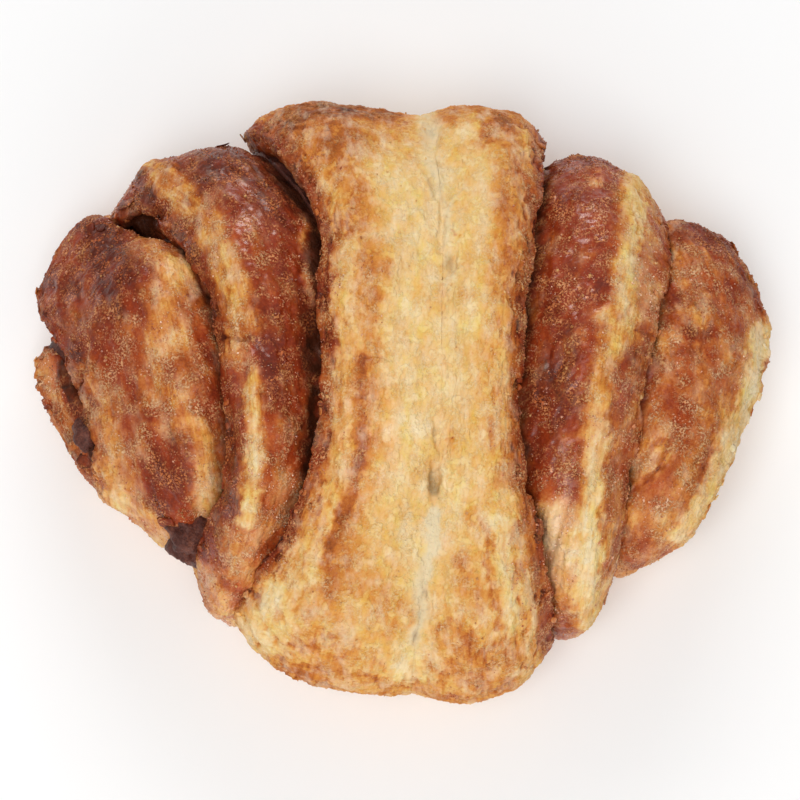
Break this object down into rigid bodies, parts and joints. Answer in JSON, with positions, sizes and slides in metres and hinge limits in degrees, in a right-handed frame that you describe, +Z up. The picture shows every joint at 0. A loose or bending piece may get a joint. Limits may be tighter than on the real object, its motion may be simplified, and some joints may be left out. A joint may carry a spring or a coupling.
{
  "type": "cinnamon bun",
  "caption": "Baked cinnamon bun of rolled laminated dough, pressed along the middle so that its turns fan out on both sides, with dark cinnamon filling in the grooves.",
  "frame": {"origin": "on the flat tray face, at the middle of the outline seen from above", "axes": "+X to the right across the ridges as in the picture, +Y to the back (the top of the picture), +Z up"},
  "size_m": [0.1266, 0.1044, 0.0417],
  "materials": {
    "baked_dough": "satin",
    "cinnamon_filling": "satin"
  },
  "bodies": {
    "root": {"dough": "baked_dough", "filling_outer": "cinnamon_filling", "filling_middle": "cinnamon_filling", "filling_core": "cinnamon_filling"}
  },
  "joints": []
}
